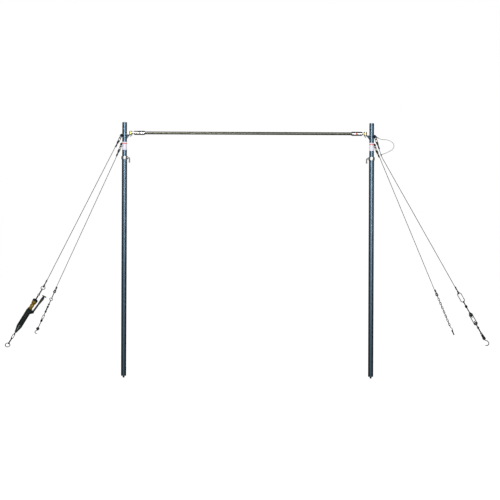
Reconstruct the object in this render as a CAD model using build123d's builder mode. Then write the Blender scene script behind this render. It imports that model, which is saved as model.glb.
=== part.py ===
# A free-standing horizontal bar for gymnastics: a steel rail between two telescoping posts,
# each post held by two wire-rope stays with their links, tensioners and hooks.
# Frame: X along the rail, Y from the front to the back, Z up, millimetres.
# Origin: midway between the posts, at the tips of their foot pins.

import os
from math import atan2, cos, degrees, radians, sin, tan

from build123d import *

os.makedirs("parts", exist_ok=True)

# ---- overall sizes ----
post_spacing = 2400.0  # between the axes of the posts
rail_height = 2377.0  # axis of the rail
top_above_rail = 103.0  # top of the caps

# ---- posts ----
pin_radius = 10.0  # pivot pin under each post
pin_length = 18.0
flange_height = 6.0
spigot_length = 40.0
outer_wall = 2.3
tube_gap = 0.2  # radial, between the outer and the inner tube
inner_radius = 23.0
inner_wall = 2.5
fit_gap = 0.05  # radial, between a spigot or a screw and its bore
inner_overlap = 385.0  # of the inner tube below the collar, which lets the rail rise
cap_height = 6.0
cap_spigot = 24.0

# ---- locking collar and its L-shaped handle ----
collar_below_rail = 242.0  # centre
collar_length = 32.0
collar_radius = 31.0
collar_lip = 8.0  # part above the outer tube
collar_gap = 0.3
boss_radius = 10.0
boss_reach = 36.0  # from the post's axis
handle_radius = 6.0
handle_reach = 54.0
handle_drop = 38.0
handle_bend = 9.0

# ---- rail and its ends ----
rail_radius = 14.0
sleeve_radius = 20.0
sleeve_length = 105.0
sleeve_bore_depth = 80.0
sleeve_chamfer = 4.0
post_to_block = 60.0  # post axis to the pivot's axis
block_radius = 14.0
block_height = 32.0
neck_radius = 9.0
neck_free = 18.0  # between the sleeve and the block
neck_engage = 8.0  # into the sleeve and into the block
mark_radius = 8.0
mark_thickness = 0.5
rail_pin_radius = 6.0
rail_pin_head = 10.0
rail_pin_head_height = 5.0
rail_pin_tail = 14.0  # below the shelf
stop_gap = 0.3  # between a moving piece and its stop

# ---- bar bracket on the inner tube ----
shelf_thickness = 8.0
shelf_width = 34.0
shelf_overhang = 15.0  # past the pivot's axis
shelf_corner = 9.0
gusset_height = 58.0
gusset_thickness = 8.0
gusset_inset = 27.0  # from the shelf's end, clear of the pin

# ---- ears for the stays ----
ear_thickness = 8.0
ear_half_height = 15.0
ear_hole_radius = 5.0
front_ear_below_rail = 27.0
rear_ear_below_rail = 107.0
ear_reach = 45.0  # post axis to the hole
front_ear_end = 13.0  # past the hole
rear_ear_end = 14.7

# ---- label wrap on the inner tube ----
label_below_rail = 166.0  # lower edge
label_height = 78.0
label_thickness = 0.5
label_arc = 220.0
label_turn = 18.0

# ---- where the stays end: distance out from the post, distance to the front or back, height ----
left_front_anchor_place = (960.0, -1250.0, 378.0)
left_rear_anchor_place = (1005.0, 1250.0, 365.0)
right_front_clamp_place = (94.0, -140.0)
clamp_below_ear = 209.0
right_front_anchor_place = (984.0, -1250.0, 375.0)
right_rear_anchor_place = (951.0, 1250.0, 360.0)

joint_share = 0.71354  # of the way from the post to the left front anchor
joint_sag = 56.9  # the tensioner's weight draws the joint down from the straight line
joint_set_back = 8.93

# ---- hardware shared by the stays ----
rope_radius = 3.0
rope_half_gap = 3.4  # half the distance between two ropes side by side
rope_clearance = 0.1
eye_radius = 12.0
eye_length = 48.0  # crown to ferrule
ferrule_length = 26.0
ferrule_width = 17.0
ferrule_depth = 10.0
thimble_depth = 9.0
thimble_hole = 6.5
shackle_rod = 3.5
shackle_half = 11.0
shackle_length = 36.0
shackle_pin = 4.0
link_rod = 3.0
wide_link = 22.0  # between rod centres, where a thimble passes
narrow_link = 17.0
touch_gap = 0.4
quick_link_length = 46.0
eye_rod = 3.0

half_spacing = post_spacing / 2
outer_radius = inner_radius + tube_gap + outer_wall
post_top = rail_height + top_above_rail
collar_height = rail_height - collar_below_rail
inner_bottom = collar_height - inner_overlap
label_bottom = rail_height - label_below_rail
front_ear_height = rail_height - front_ear_below_rail
rear_ear_height = rail_height - rear_ear_below_rail
collar_bottom = collar_height - collar_length / 2
collar_top = collar_height + collar_length / 2
outer_top = collar_top - collar_lip
outer_bottom = pin_length + flange_height
inner_top = post_top - cap_height
shelf_top = rail_height - block_height / 2
block_x = half_spacing - post_to_block
sleeve_outer_x = block_x - block_radius - neck_free
sleeve_inner_x = sleeve_outer_x - sleeve_length


def beside_post(side, place):
    """Place given by its distances out from a post and to the front or back, and its height."""
    return (side * (half_spacing + place[0]), place[1], place[2])


left_front_anchor = beside_post(-1, left_front_anchor_place)
left_front_start = Vector(-half_spacing, 0, front_ear_height)
left_front_joint = (
    left_front_start
    + (Vector(*left_front_anchor) - left_front_start) * joint_share
    + Vector(0, joint_set_back, -joint_sag)
)
left_rear_anchor = beside_post(-1, left_rear_anchor_place)
right_front_clamp = beside_post(1, (*right_front_clamp_place, front_ear_height - clamp_below_ear))
right_front_anchor = beside_post(1, right_front_anchor_place)
right_rear_anchor = beside_post(1, right_rear_anchor_place)


def save(piece, name):
    piece.part.label = name
    export_step(piece.part, f"parts/{name}.step")


def save_group(name, *pieces):
    """Several separate solids of one kind, written as one sub-part."""
    group = Compound([solid for piece in pieces for solid in piece.part.solids()])
    group.label = name
    export_step(group, f"parts/{name}.step")


# ================= posts =================
def foot_plug(side):
    """Pivot pin, flange and spigot, turned in one piece."""
    with BuildPart() as plug:
        with BuildSketch(Plane.XY):
            with Locations((side * half_spacing, 0)):
                Circle(pin_radius)
        extrude(amount=pin_length)
        with BuildSketch(Plane.XY.offset(pin_length)):
            with Locations((side * half_spacing, 0)):
                Circle(outer_radius)
        extrude(amount=flange_height)
        with BuildSketch(Plane.XY.offset(outer_bottom)):
            with Locations((side * half_spacing, 0)):
                Circle(outer_radius - outer_wall - fit_gap)
        extrude(amount=spigot_length)
        chamfer(plug.edges().group_by(Axis.Z)[0], 2)
        chamfer(plug.edges().group_by(Axis.Z)[-1], 2)
    return plug


def tube(side, bottom, top, radius, wall):
    with BuildPart() as pipe:
        with BuildSketch(Plane.XY.offset(bottom)):
            with Locations((side * half_spacing, 0)):
                Circle(radius)
                Circle(radius - wall, mode=Mode.SUBTRACT)
        extrude(amount=top - bottom)
    return pipe


def tube_cap(side):
    with BuildPart() as cap:
        with BuildSketch(Plane.XY.offset(inner_top)):
            with Locations((side * half_spacing, 0)):
                Circle(inner_radius)
        extrude(amount=cap_height)
        fillet(cap.edges().group_by(Axis.Z)[-1], cap_height / 2)
        with BuildSketch(Plane.XY.offset(inner_top)):
            with Locations((side * half_spacing, 0)):
                Circle(inner_radius - inner_wall - fit_gap)
        extrude(amount=-cap_spigot)
    return cap


def collar(side):
    """Clamp ring over the outer tube's end, with a threaded boss towards the rail."""
    boss_start = Plane(origin=(side * half_spacing, 0, collar_height), x_dir=(0, 1, 0), z_dir=(-side, 0, 0))
    with BuildPart() as ring:
        with BuildSketch(Plane.XY.offset(collar_bottom)):
            with Locations((side * half_spacing, 0)):
                Circle(collar_radius)
        extrude(amount=collar_length)
        chamfer(ring.edges(), 2)
        with BuildSketch(boss_start):
            Circle(boss_radius)
        extrude(amount=boss_reach)
        with BuildSketch(Plane.XY.offset(collar_bottom)):
            with Locations((side * half_spacing, 0)):
                Circle(outer_radius)
        extrude(amount=outer_top - collar_bottom, mode=Mode.SUBTRACT)
        with BuildSketch(Plane.XY.offset(collar_bottom)):
            with Locations((side * half_spacing, 0)):
                Circle(inner_radius + collar_gap)
        extrude(amount=collar_length, mode=Mode.SUBTRACT)
        with BuildSketch(boss_start.offset(inner_radius)):
            Circle(handle_radius + fit_gap)
        extrude(amount=boss_reach, mode=Mode.SUBTRACT)
    return ring


def outer_tube(side):
    """Lower tube, with a hole where the locking screw passes its wall."""
    with BuildPart() as pipe:
        with BuildSketch(Plane.XY.offset(outer_bottom)):
            with Locations((side * half_spacing, 0)):
                Circle(outer_radius)
                Circle(outer_radius - outer_wall, mode=Mode.SUBTRACT)
        extrude(amount=outer_top - outer_bottom)
        with BuildSketch(Plane(origin=(side * half_spacing, 0, collar_height), z_dir=(-side, 0, 0))):
            Circle(handle_radius + 2 * fit_gap)
        extrude(amount=collar_radius, mode=Mode.SUBTRACT)
    return pipe


def lock_handle(side):
    """Locking screw and its L-shaped handle, bent from one rod."""
    start = side * (half_spacing - inner_radius - 2 * stop_gap)
    corner = side * (half_spacing - handle_reach + handle_radius)
    with BuildPart() as handle:
        with BuildLine() as path:
            rod = FilletPolyline(
                (start, 0, collar_height),
                (corner, 0, collar_height),
                (corner, 0, collar_height - handle_drop),
                radius=handle_bend,
            )
        with BuildSketch(Plane(origin=rod @ 0, z_dir=rod % 0)):
            Circle(handle_radius)
        sweep(path=path.wires()[0])
        with BuildSketch(Plane(origin=(corner, 0, collar_height - handle_drop))):
            Circle(handle_radius + 1.5)
        extrude(amount=-8)
        fillet(handle.edges().group_by(Axis.Z)[0], 1.5)
    return handle


def bar_bracket(side):
    """Shelf that carries the rail's pivot, with a gusset below, welded to the inner tube."""
    near = side * (half_spacing - 5)
    far = side * (block_x - shelf_overhang)
    with BuildPart() as bracket:
        with BuildSketch(Plane.XY.offset(shelf_top - shelf_thickness)) as shelf:
            with Locations(((near + far) / 2, 0)):
                Rectangle(abs(near - far), shelf_width)
            fillet([v for v in shelf.vertices() if abs(v.X - far) < 0.01], shelf_corner)
        extrude(amount=shelf_thickness)
        with BuildSketch(Plane.XZ.offset(-gusset_thickness / 2)):
            with BuildLine():
                Polyline(
                    (near, shelf_top - shelf_thickness),
                    (far + side * gusset_inset, shelf_top - shelf_thickness),
                    (near, shelf_top - shelf_thickness - gusset_height),
                    close=True,
                )
            make_face()
        extrude(amount=gusset_thickness)
        with BuildSketch(Plane.XY.offset(shelf_top)):
            with Locations((side * block_x, 0)):
                Circle(rail_pin_radius + fit_gap)
        extrude(amount=-shelf_thickness - 1, mode=Mode.SUBTRACT)
        with BuildSketch(Plane.XY.offset(shelf_top + 1)):
            with Locations((side * half_spacing, 0)):
                Circle(inner_radius)
        extrude(amount=-shelf_thickness - gusset_height - 2, mode=Mode.SUBTRACT)
    return bracket


def ear(side, direction, height, end):
    """Upright plate on the inner tube, with a hole for a shackle pin."""
    post = (side * half_spacing, 0, height)
    plate = Plane(origin=post, x_dir=direction, z_dir=direction.cross(Vector(0, 0, 1)))
    with BuildPart() as lug:
        with BuildSketch(plate.offset(-ear_thickness / 2)):
            with Locations(((ear_reach + 5) / 2, 0)):
                Rectangle(ear_reach + 5, 2 * ear_half_height)
            with Locations((ear_reach + end - ear_half_height, 0)):
                Circle(ear_half_height)
            with Locations((ear_reach, 0)):
                Circle(ear_hole_radius, mode=Mode.SUBTRACT)
        extrude(amount=ear_thickness)
        with BuildSketch(Plane.XY.offset(height - 2 * ear_half_height)):
            with Locations((side * half_spacing, 0)):
                Circle(inner_radius)
        extrude(amount=4 * ear_half_height, mode=Mode.SUBTRACT)
    return lug


def label_wrap(side):
    """Sticker round most of the inner tube, one arc of a thin ring."""
    middle = -90 + side * label_turn
    first, last = radians(middle - label_arc / 2), radians(middle + label_arc / 2)
    small, large = inner_radius, inner_radius + label_thickness
    with BuildPart() as wrap:
        with BuildSketch(Plane.XY.offset(label_bottom)):
            with Locations((side * half_spacing, 0)):
                Circle(large)
                Circle(small, mode=Mode.SUBTRACT)
            with BuildLine():
                Polyline(
                    (side * half_spacing, 0),
                    (side * half_spacing + 80 * cos(last), 80 * sin(last)),
                    (side * half_spacing, 80),
                    (side * half_spacing + 80 * cos(first), 80 * sin(first)),
                    close=True,
                )
            make_face(mode=Mode.SUBTRACT)
        extrude(amount=label_height)
    return wrap


# ================= rail =================
def end_sleeve(side):
    across = Plane(origin=(side * sleeve_inner_x, 0, rail_height), x_dir=(0, 1, 0), z_dir=(side, 0, 0))
    with BuildPart() as sleeve:
        with BuildSketch(across):
            Circle(sleeve_radius)
        extrude(amount=sleeve_length)
        chamfer(sleeve.edges(), sleeve_chamfer)
        with BuildSketch(across):
            Circle(rail_radius + fit_gap)
        extrude(amount=sleeve_bore_depth, mode=Mode.SUBTRACT)
        with BuildSketch(across.offset(sleeve_length)):
            Circle(neck_radius)
        extrude(amount=-neck_engage, mode=Mode.SUBTRACT)
    return sleeve


def neck(side):
    """Round neck between the sleeve and the brass block."""
    across = Plane(origin=(side * sleeve_outer_x, 0, rail_height), x_dir=(0, 1, 0), z_dir=(side, 0, 0))
    with BuildPart() as stub:
        with BuildSketch(across.offset(-neck_engage)):
            Circle(neck_radius)
        extrude(amount=neck_engage)
        with BuildSketch(across):
            Circle(neck_radius + 2)
        extrude(amount=neck_free - 3)
        fillet(stub.edges().group_by(Axis.X)[-1 if side > 0 else 0], 1.5)
        with BuildSketch(across):
            Circle(neck_radius - 2)
        extrude(amount=neck_free + block_radius - rail_pin_radius - 3)
    return stub


def swivel_block(side):
    """Brass block with an upright bore for the pivot pin and a side bore for the neck."""
    with BuildPart() as block:
        with BuildSketch(Plane.XY.offset(shelf_top)):
            with Locations((side * block_x, 0)):
                Circle(block_radius)
        extrude(amount=block_height)
        chamfer(block.edges(), 1.5)
        with BuildSketch(Plane.XY.offset(shelf_top)):
            with Locations((side * block_x, 0)):
                Circle(rail_pin_radius + fit_gap)
        extrude(amount=block_height, mode=Mode.SUBTRACT)
        with BuildSketch(Plane(origin=(side * sleeve_outer_x, 0, rail_height), z_dir=(side, 0, 0))):
            Circle(neck_radius - 2)
        extrude(amount=neck_free + block_radius - rail_pin_radius - 3, mode=Mode.SUBTRACT)
    return block


def rail_pin(side):
    """Drop-in pivot pin with a round head."""
    head_bottom = shelf_top + block_height + stop_gap
    with BuildPart() as pin:
        with BuildSketch(Plane.XY.offset(head_bottom)):
            with Locations((side * block_x, 0)):
                Circle(rail_pin_head)
        extrude(amount=rail_pin_head_height)
        fillet(pin.edges().group_by(Axis.Z)[-1], 2)
        with BuildSketch(Plane.XY.offset(head_bottom)):
            with Locations((side * block_x, 0)):
                Circle(rail_pin_radius)
        extrude(amount=-(block_height + stop_gap + shelf_thickness + rail_pin_tail))
        chamfer(pin.edges().group_by(Axis.Z)[0], 1.5)
    return pin


def sleeve_mark(side):
    """Small round mark on the front of the sleeve, following its surface."""
    middle = side * (sleeve_inner_x + sleeve_length / 2)
    across = Plane(origin=(middle - 20, 0, rail_height), x_dir=(0, 1, 0), z_dir=(1, 0, 0))
    with BuildPart() as mark:
        with BuildSketch(across):
            Circle(sleeve_radius + mark_thickness)
            Circle(sleeve_radius, mode=Mode.SUBTRACT)
        extrude(amount=40)
        with BuildSketch(Plane(origin=(middle, 0, rail_height), z_dir=(0, -1, 0))):
            Circle(mark_radius)
        extrude(amount=2 * sleeve_radius, mode=Mode.INTERSECT)
    return mark


for side, hand in ((-1, "left"), (1, "right")):
    save(foot_plug(side), f"{hand}_foot_plug")
    save(outer_tube(side), f"{hand}_outer_tube")
    save(tube(side, inner_bottom, inner_top, inner_radius, inner_wall), f"{hand}_inner_tube")
    save(collar(side), f"{hand}_collar")
    save(lock_handle(side), f"{hand}_lock_handle")
    save(bar_bracket(side), f"{hand}_bar_bracket")
    save(end_sleeve(side), f"{hand}_end_sleeve")
    save(swivel_block(side), f"{hand}_swivel_block")
    save(rail_pin(side), f"{hand}_rail_pin")

with BuildPart() as rail:
    with BuildSketch(Plane.YZ.offset(-(sleeve_inner_x + sleeve_bore_depth - 1))):
        with Locations((0, rail_height)):
            Circle(rail_radius)
    extrude(amount=2 * (sleeve_inner_x + sleeve_bore_depth - 1))
save(rail, "rail")

save_group("tube_caps", tube_cap(-1), tube_cap(1))
save_group("label_wraps", label_wrap(-1), label_wrap(1))
save_group("rail_necks", neck(-1), neck(1))
save_group("sleeve_marks", sleeve_mark(-1), sleeve_mark(1))


# ================= stays: how their pieces are placed =================
def stay_frame(start, end):
    """Plane at a stay's start: z runs down the stay, x points aside, towards +X."""
    down = (Vector(*end) - Vector(*start)).normalized()
    aside = (Vector(1, 0, 0) - down * down.X).normalized()
    return Plane(origin=start, x_dir=aside, z_dir=down)


def aside_of(frame, turn):
    return frame.x_dir.rotate(Axis((0, 0, 0), frame.z_dir), turn)


def point(frame, s, y=0.0, turn=0.0):
    """Place at distance s down the stay and y aside, with the side turned about the stay."""
    return frame.origin + frame.z_dir * s + aside_of(frame, turn) * y


def lengthwise(frame, s=0.0, turn=0.0):
    """Plane that holds the stay: its x runs down the stay, its y points aside."""
    return Plane(origin=point(frame, s), x_dir=frame.z_dir, z_dir=frame.z_dir.cross(aside_of(frame, turn)))


def crosswise(frame, s, turn=0.0):
    return Plane(origin=point(frame, s), x_dir=aside_of(frame, turn), z_dir=frame.z_dir)


def turn_of(frame, direction):
    """Angle about the stay from its side to another direction."""
    other = frame.z_dir.cross(frame.x_dir)
    return degrees(atan2(direction.dot(other), direction.dot(frame.x_dir)))


def swept(points, radii, rod):
    """Round rod along straight runs joined by arcs."""
    with BuildPart() as bar:
        with BuildLine() as path:
            line = FilletPolyline(*points, radius=radii)
        with BuildSketch(Plane(origin=line @ 0, z_dir=line % 0)):
            Circle(rod)
        sweep(path=path.wires()[0])
    return bar


def turned(frame, profile):
    """Turned piece: profile holds (distance down the stay, radius) corners."""
    with BuildPart() as piece:
        with BuildSketch(lengthwise(frame)):
            with BuildLine():
                Polyline(*profile, close=True)
            make_face()
        revolve(axis=Axis(frame.origin, frame.z_dir))
    return piece


def ring(frame, s, radius, rod, turn=0.0):
    """Welded round ring, centred at s."""
    level = lengthwise(frame, s, turn)
    with BuildPart() as hoop:
        side = Plane(origin=level.origin + level.x_dir * radius, x_dir=level.x_dir, z_dir=level.y_dir)
        with BuildSketch(side):
            Circle(rod)
        revolve(axis=Axis(level.origin, level.z_dir))
    return hoop


def link(frame, first, last, width, rod, turn=0.0):
    """Oval link between rod centres first and last; width is between rod centres too."""
    bend = width / 2
    with BuildPart() as loop:
        with BuildLine(lengthwise(frame, first, turn)) as path:
            start = Line(((last - first) / 2, bend), (last - first - bend, bend))
            CenterArc((last - first - bend, 0), bend, 90, -180)
            Line((last - first - bend, -bend), (bend, -bend))
            CenterArc((bend, 0), bend, 270, -180)
            Line((bend, bend), ((last - first) / 2, bend))
        with BuildSketch(Plane(origin=start @ 0, z_dir=start % 0)):
            Circle(rod)
        sweep(path=path.wires()[0])
    return loop


def eyed_shank(frame, centre, radius, rod, shank, tail, turn=0.0, collars=()):
    """Eye with a round shank that ends at tail; collars are (from, to, radius) on the shank."""
    way = 1 if tail > centre else -1
    eye = ring(frame, centre, radius, rod, turn)
    with BuildPart() as piece:
        add(eye.part)
        with BuildSketch(crosswise(frame, centre + way * radius)):
            Circle(shank)
        extrude(amount=way * (abs(tail - centre) - radius))
        for first, last, size in collars:
            with BuildSketch(crosswise(frame, first)):
                RegularPolygon(size, 6)
            extrude(amount=last - first)
    return piece


# ================= wire ropes and what holds their eyes =================
def eye_corners(frame, crown, way, turn, dead_end):
    """Corners of a rope's eye, from the side of its dead end to the side of its main run."""
    ferrule = crown + way * eye_length
    half = rope_half_gap
    shoulder = crown + way * 11
    corners = [(ferrule, half), (shoulder, 13.5), (crown, 7), (crown, -7), (shoulder, -13.5)]
    if dead_end:
        corners.insert(0, (ferrule + way * (ferrule_length + 5), half))
    corners.append((ferrule, -half))
    return [point(frame, s, y, turn) for s, y in corners]


eye_bends = [eye_radius] * 4
eye_foot_bend = 50.0


def rope(top, bottom, top_eye, bottom_eye, middle=(), middle_bend=200.0):
    """Wire rope with an eye at each end; an eye is (crown, turn), middle holds bends between."""
    upper = eye_corners(top, top_eye[0], 1, top_eye[1], True)
    lower = eye_corners(bottom, bottom_eye[0], -1, bottom_eye[1], True)
    radii = [eye_foot_bend, *eye_bends, eye_foot_bend]
    points = [*upper, *middle, *reversed(lower)]
    return swept(points, [*radii, *[middle_bend] * len(middle), *radii], rope_radius)


def thimble(frame, crown, way, turn):
    """Teardrop thimble inside a rope's eye, with a groove that takes the rope."""
    centre = lengthwise(frame, crown + way * eye_radius, turn)
    groove = swept(
        [point(frame, crown + way * (eye_length + 4), rope_half_gap, turn)]
        + eye_corners(frame, crown, way, turn, False)
        + [point(frame, crown + way * (eye_length + 4), -rope_half_gap, turn)],
        [8, *eye_bends, 8],
        rope_radius + rope_clearance,
    )
    with BuildPart() as piece:
        with BuildSketch(centre.offset(-thimble_depth / 2)):
            Circle(eye_radius)
            with Locations((way * (eye_length - eye_radius - 10), 0)):
                Circle(1.5)
            make_hull()
        extrude(amount=thimble_depth)
        with BuildSketch(centre.offset(-thimble_depth / 2)):
            Circle(thimble_hole)
            with Locations((way * eye_radius, 0)):
                Circle(1)
            make_hull()
        extrude(amount=thimble_depth, mode=Mode.SUBTRACT)
        add(groove.part, mode=Mode.SUBTRACT)
    return piece


def ferrule(frame, crown, way, turn):
    """Pressed sleeve that holds a rope's dead end against its main run."""
    start = crown + way * (eye_length + 7)
    with BuildPart() as sleeve:
        with BuildSketch(crosswise(frame, start, turn)):
            RectangleRounded(ferrule_width, ferrule_depth, ferrule_depth / 2 - 0.1)
        extrude(amount=way * ferrule_length)
        chamfer(sleeve.faces().filter_by(lambda f: abs(f.normal_at().dot(frame.z_dir)) > 0.9).edges(), 1)
        with BuildSketch(crosswise(frame, start, turn)):
            with Locations((-rope_half_gap, 0), (rope_half_gap, 0)):
                Circle(rope_radius + 2.5 * rope_clearance)
        extrude(amount=way * ferrule_length, mode=Mode.SUBTRACT)
    return sleeve


def shackle(frame, turn):
    """Bow of a shackle with its cross pin through the ear's hole."""
    level = lengthwise(frame, 0, turn)
    side = aside_of(frame, turn)
    outside = shackle_half + shackle_rod + 0.5
    boss = 2 * shackle_rod + 1
    straight = shackle_length - shackle_half
    with BuildPart() as bow:
        with BuildLine(level) as path:
            leg = Line((0, shackle_half), (straight, shackle_half))
            CenterArc((straight, 0), shackle_half, 90, -180)
            Line((straight, -shackle_half), (0, -shackle_half))
        with BuildSketch(Plane(origin=leg @ 0, z_dir=leg % 0)):
            Circle(shackle_rod)
        sweep(path=path.wires()[0])
        for way in (-1, 1):
            with BuildSketch(Plane(origin=frame.origin + side * way * (outside - boss), z_dir=side * way)):
                Circle(boss)
            extrude(amount=boss)
        with BuildSketch(Plane(origin=frame.origin - side * outside, z_dir=side)):
            Circle(shackle_pin + fit_gap)
        extrude(amount=2 * outside, mode=Mode.SUBTRACT)
    with BuildPart() as pin:
        with BuildSketch(Plane(origin=frame.origin - side * (outside + 2), z_dir=side)):
            Circle(shackle_pin)
        extrude(amount=2 * outside + 4)
        with BuildSketch(Plane(origin=frame.origin + side * (outside + 0.1), z_dir=side)):
            Circle(6.5)
        extrude(amount=4)
    return bow, pin


def quick_link(frame, turn):
    first = shackle_length - shackle_rod - link_rod - touch_gap
    return link(frame, first, first + quick_link_length, wide_link, link_rod, turn)


top_crown = shackle_length - shackle_rod - touch_gap + quick_link_length - link_rod - 7.1 - link_rod
wide_gap = link_rod + 1.8 + 5.5  # from the crown of a rope's eye to the rod that passes its thimble


def ear_point(side, direction, height):
    return Vector(side * half_spacing, 0, height) + direction * ear_reach


def plan_direction(side, anchor):
    """Level direction from the post's axis to an anchor point."""
    x, y, _ = anchor
    return Vector(x - side * half_spacing, y, 0).normalized()


lf_direction = plan_direction(-1, left_front_joint)
rf_direction = plan_direction(1, right_front_anchor)
lr_direction = plan_direction(-1, left_rear_anchor)
rr_direction = plan_direction(1, right_rear_anchor)

save_group(
    "left_ears",
    ear(-1, lf_direction, front_ear_height, front_ear_end),
    ear(-1, lr_direction, rear_ear_height, rear_ear_end),
)
save_group(
    "right_ears",
    ear(1, rf_direction, front_ear_height, front_ear_end),
    ear(1, rr_direction, rear_ear_height, rear_ear_end),
)

lf = stay_frame(ear_point(-1, lf_direction, front_ear_height), left_front_joint)
lf_low = stay_frame(left_front_joint, left_front_anchor)
lr = stay_frame(ear_point(-1, lr_direction, rear_ear_height), left_rear_anchor)
rf = stay_frame(ear_point(1, rf_direction, front_ear_height), right_front_clamp)
rf_low = stay_frame(right_front_clamp, right_front_anchor)
rr = stay_frame(ear_point(1, rr_direction, rear_ear_height), right_rear_anchor)


def span(frame, end):
    return (Vector(*end) - frame.origin).length


def ending_at(frame, end, reach):
    """The same line, with its start moved so that its far end lies at the given distance."""
    return frame.offset(span(frame, end) - reach)


# distances at which the far ends lie, for the pieces at the lower ends
lr_reach = 2461.5
rf_reach = 2267.8
rr_reach = 2444.5
lr_low = ending_at(lr, left_rear_anchor, lr_reach)
rr_low = ending_at(rr, right_rear_anchor, rr_reach)
rf_end = ending_at(rf_low, right_front_anchor, rf_reach)

# crowns of the lower eyes
lf_crown = span(lf, left_front_joint) - 8
lr_crown = 1905.0
rf_crown = 1659.0
rr_crown = 1905.0

shackles, quick_links, thimbles, ferrules = [], [], [], []
top_turns = {}
for name, frame, direction in (
    ("lf", lf, lf_direction),
    ("lr", lr, lr_direction),
    ("rf", rf, rf_direction),
    ("rr", rr, rr_direction),
):
    turn = turn_of(frame, Vector(0, 0, 1).cross(direction))
    top_turns[name] = turn
    shackles += shackle(frame, turn)
    quick_links.append(quick_link(frame, turn + 90))
    thimbles.append(thimble(frame, top_crown, 1, turn))
    ferrules.append(ferrule(frame, top_crown, 1, turn))
for frame, crown, turn in (
    (lf, lf_crown, 90),
    (lr_low, lr_crown, 0),
    (rf_end, rf_crown, 90),
    (rr_low, rr_crown, 0),
):
    thimbles.append(thimble(frame, crown, -1, turn))
    ferrules.append(ferrule(frame, crown, -1, turn))

ropes = {
    "left_front_rope": rope(lf, lf, (top_crown, top_turns["lf"]), (lf_crown, 90)),
    "left_rear_rope": rope(lr, lr_low, (top_crown, top_turns["lr"]), (lr_crown, 0)),
    "right_front_rope": rope(
        rf,
        rf_end,
        (top_crown, top_turns["rf"]),
        (rf_crown, 90),
        [point(rf, span(rf, right_front_clamp), -rope_half_gap, top_turns["rf"])],
    ),
    "right_rear_rope": rope(rr, rr_low, (top_crown, top_turns["rr"]), (rr_crown, 0)),
}
for name, piece in ropes.items():
    save(piece, name)
    print(name, round(piece.part.volume / (3.14159265 * rope_radius**2), 1), "mm long")
save_group("stay_shackles", *shackles)
save_group("quick_links", *quick_links)
save_group("thimbles", *thimbles)
save_group("ferrules", *ferrules)


# ================= left front stay: ratchet tensioner =================
joint_ring_radius = 19.0
anchor_ring_radius = 21.0
anchor_ring_rod = 4.0
screw_radius = 6.0
tensioner_top = 146.0  # distances below the joint ring
tensioner_gold = (172.0, 268.0)
tensioner_bottom = 529.0
tensioner_radius = 25.0
barrel_radius = 17.0
barrel_flange = 22.0
sleeve_pitch = 22.0
lever_pivot = (275.0, 40.0)  # distance down the stay, distance aside
lever_tip = (80.0, 55.0)
lever_arm = 104.0
lever_height = 12.0
lever_thickness = 16.0
lever_pin = 4.0
cheek_thickness = 4.0
cheek_gap = 0.5
grip_radius = 12.0

upper_link_first = joint_ring_radius - shackle_rod - link_rod - touch_gap
upper_eye_centre = 83.0
upper_link_last = upper_eye_centre - 9 + eye_rod + link_rod + touch_gap
save_group(
    "left_front_joint",
    ring(lf_low, 0, joint_ring_radius, shackle_rod),
    link(lf_low, upper_link_first, upper_link_last, narrow_link, link_rod, 90),
)
save(eyed_shank(lf_low, upper_eye_centre, 9, eye_rod, screw_radius, 215, 0), "tensioner_upper_screw")

bore = screw_radius + fit_gap
gold_top, gold_bottom = tensioner_gold
save(
    turned(
        lf_low,
        [
            (gold_top, bore),
            (gold_top, barrel_flange - 1),
            (gold_top + 1, barrel_flange),
            (gold_top + 13, barrel_flange),
            (gold_top + 14, barrel_radius),
            (gold_top + 38, barrel_radius),
            (gold_top + 40, barrel_radius + 2),
            (gold_top + 48, barrel_radius + 2),
            (gold_top + 50, barrel_radius),
            (gold_bottom - 17, barrel_radius),
            (gold_bottom - 16, barrel_flange),
            (gold_bottom - 1, barrel_flange),
            (gold_bottom, barrel_flange - 1),
            (gold_bottom, bore),
        ],
    ),
    "tensioner_barrel",
)

ribs = [(gold_bottom, bore), (gold_bottom, tensioner_radius - 2), (gold_bottom + 2, tensioner_radius)]
rib_start = gold_bottom + 30
while rib_start + sleeve_pitch < tensioner_bottom - 70:
    ribs += [
        (rib_start, tensioner_radius),
        (rib_start + 3, tensioner_radius - 3),
        (rib_start + 6, tensioner_radius - 3),
        (rib_start + 9, tensioner_radius),
    ]
    rib_start += sleeve_pitch
ribs += [
    (tensioner_bottom - 66, tensioner_radius),
    (tensioner_bottom - 12, barrel_radius - 4),
    (tensioner_bottom, barrel_radius - 5),
    (tensioner_bottom, bore),
]
housing_body = turned(lf_low, ribs)
top_collar = turned(
    lf_low,
    [
        (tensioner_top, bore),
        (tensioner_top, tensioner_radius - 4),
        (tensioner_top + 3, tensioner_radius - 1),
        (gold_top - 7, tensioner_radius - 1),
        (gold_top - 4, tensioner_radius - 4),
        (gold_top, tensioner_radius - 4),
        (gold_top, bore),
    ],
)
cheek_inner = lever_thickness / 2 + cheek_gap
side_plane = lengthwise(lf_low)
with BuildPart() as housing:
    add(housing_body.part)
    for way in (-1, 1):
        with BuildSketch(side_plane.offset(way * cheek_inner)):
            with Locations((lever_pivot[0], lever_pivot[1])):
                Circle(9)
            with Locations((lever_pivot[0] + 12, 16)):
                Rectangle(30, 6)
            make_hull()
            with Locations((lever_pivot[0], lever_pivot[1])):
                Circle(lever_pin + fit_gap, mode=Mode.SUBTRACT)
        extrude(amount=way * cheek_thickness)
    with BuildSketch(crosswise(lf_low, gold_bottom)):
        Circle(bore)
    extrude(amount=tensioner_bottom - gold_bottom, mode=Mode.SUBTRACT)
save_group("tensioner_housing", housing, top_collar)

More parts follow.
